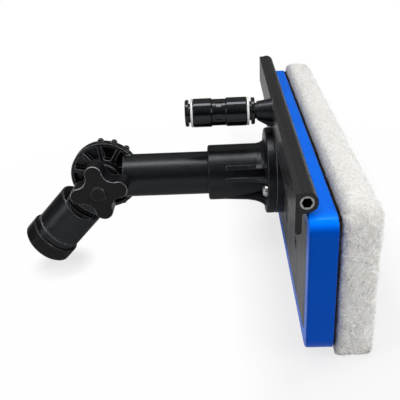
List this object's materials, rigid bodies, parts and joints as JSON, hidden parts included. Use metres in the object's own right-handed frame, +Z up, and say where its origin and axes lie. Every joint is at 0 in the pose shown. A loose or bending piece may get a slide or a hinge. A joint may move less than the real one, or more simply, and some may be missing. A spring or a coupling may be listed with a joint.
{
  "type": "window scrubber",
  "caption": "Water-fed window scrubber head: blue board with white scrub pad, water bar, push-fit hose coupling and a knob-clamped pole angle joint.",
  "frame": {"origin": "on the floor under the middle of the tool's bounding box", "axes": "+X from the pole end towards the pad's working face, +Y along the board, away from the knob's side, +Z up from the floor that the pad's lower edge and the pole collar stand on"},
  "size_m": [0.2144, 0.262, 0.1042],
  "materials": {
    "board_blue": "satin moulded blue",
    "plate_dark": "brushed dark grey",
    "bar_anodised": "satin black anodised",
    "black_screws": "blackened steel",
    "hook_dark": "dark hook pile",
    "pad_white": "non-woven white fibre",
    "black_moulded": "fine-textured black, semi-matte",
    "coupling_black": "gloss black",
    "coupling_white": "gloss white",
    "steel_bright": "bright zinc",
    "insert_brass": "turned brass",
    "seal_rubber": "matte black rubber"
  },
  "bodies": {
    "head": {"backing_board": "board_blue", "back_plate": "plate_dark", "plate_screws": "black_screws", "hook_sheet": "hook_dark", "scrub_pad": "pad_white", "water_bar": "bar_anodised", "bar_plugs": "steel_bright", "bar_screws": "black_screws", "inlet_fitting": "black_moulded", "inlet_seal": "seal_rubber", "base_disc": "black_moulded", "head_socket": "black_moulded", "flange_screws": "steel_bright", "spigot_tube": "black_moulded", "friction_disc": "seal_rubber", "joint_bolt": "steel_bright"},
    "pole_end": {"pole_socket": "black_moulded", "pole_collar": "black_moulded"},
    "clamp_washer": {"knob_washer": "steel_bright"},
    "knob": {"star_knob": "black_moulded", "knob_insert": "insert_brass", "knob_cap": "black_moulded"},
    "connector": {"connector_body": "coupling_black", "outer_cap": "coupling_white", "inner_cap": "coupling_white", "connector_o_rings": "seal_rubber"},
    "outer_release": {"outer_collet": "coupling_black"},
    "inner_release": {"inner_collet": "coupling_black"}
  },
  "joints": [
    {"name": "angle_tilt", "type": "hinge", "parent": "head", "child": "pole_end", "pos_m": [-0.04626, 0, 0.05813], "axis": [0, 1, 0], "range_deg": [-54, 46]},
    {"name": "knob_travel", "type": "slide", "parent": "head", "child": "clamp_washer", "axis": [0, -1, 0], "range_m": [0, 0.002]},
    {"name": "knob_turn", "type": "hinge", "parent": "clamp_washer", "child": "knob", "pos_m": [-0.04626, 0, 0.05813], "axis": [0, -1, 0], "range_deg": [0, 720]},
    {"name": "connector_swivel", "type": "hinge", "parent": "head", "child": "connector", "pos_m": [0.05272, 0, 0.09296], "axis": [-0.9979, 0, 0.0652], "continuous": true},
    {"name": "outer_press", "type": "slide", "parent": "connector", "child": "outer_release", "axis": [0.9979, 0, -0.0652], "range_m": [0, 0.0012], "stiffness_N_per_m": 500},
    {"name": "inner_press", "type": "slide", "parent": "connector", "child": "inner_release", "axis": [-0.9979, 0, 0.0652], "range_m": [0, 0.0012], "stiffness_N_per_m": 500}
  ],
  "couplings": [
    {"joint": "knob_turn", "follows": "knob_travel", "rad_per_m": 6283.2}
  ]
}
